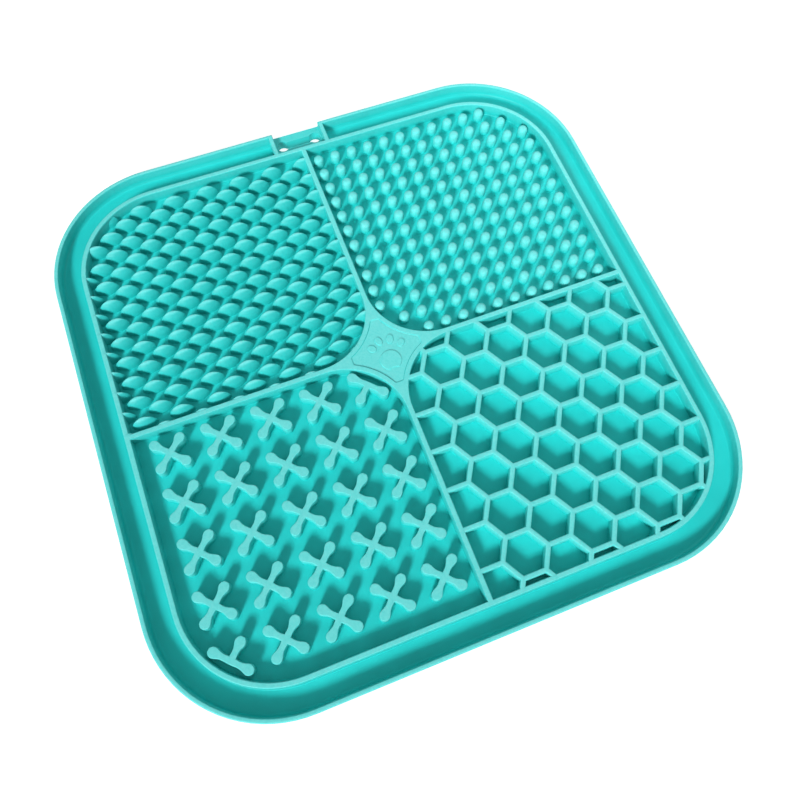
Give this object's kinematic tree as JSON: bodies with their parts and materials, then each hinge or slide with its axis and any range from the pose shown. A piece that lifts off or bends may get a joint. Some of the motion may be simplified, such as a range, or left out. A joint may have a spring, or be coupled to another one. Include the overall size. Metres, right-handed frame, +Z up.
{
  "type": "lick mat",
  "caption": "Square moulded silicone lick mat with rounded corners, a raised rim and moat, four textured feeding fields round a star, and a hanging slot.",
  "frame": {"origin": "centre of the footprint at the underside on which the mat lies", "axes": "+Z up through the thickness, +Y to the edge with the hanging slot, +X to the side of the peg and honeycomb fields"},
  "size_m": [0.2, 0.2, 0.0065],
  "materials": {
    "silicone": "satin moulded silicone, turquoise"
  },
  "bodies": {
    "root": {"mat": "silicone"}
  },
  "joints": []
}
